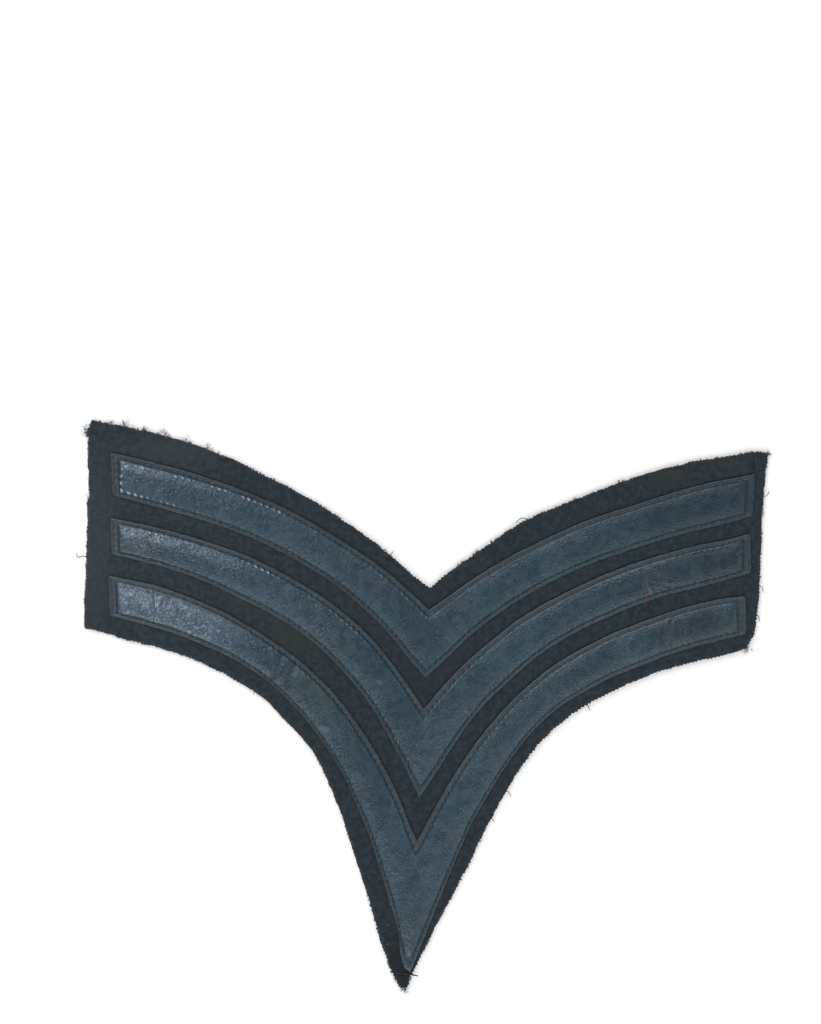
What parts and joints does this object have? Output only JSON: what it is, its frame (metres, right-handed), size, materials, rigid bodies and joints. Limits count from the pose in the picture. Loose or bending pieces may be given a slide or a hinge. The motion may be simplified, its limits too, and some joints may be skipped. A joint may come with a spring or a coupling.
{
  "type": "chevron rank patch",
  "caption": "V-shaped cloth patch with stitched leather bars, sewn to a sleeve to show rank; lies flat on its back.",
  "frame": {"origin": "middle of the bounding box, on the back of the cloth", "axes": "+X across the patch towards its right wing seen from the front, +Y from the point towards the wing tops, +Z out of the front"},
  "size_m": [0.2048, 0.168, 0.0039],
  "materials": {
    "wool_cloth": "matt dark blue-grey felted wool with a raw, fuzzy cut edge",
    "blue_leather": "slate-blue leather with a fine pebbled grain, worn glossy on the puffed middle",
    "sewing_thread": "thin grey-blue machine-sewing thread"
  },
  "bodies": {
    "root": {"backing_cloth": "wool_cloth", "top_bar": "blue_leather", "middle_bar": "blue_leather", "bottom_bar": "blue_leather"}
  },
  "joints": []
}
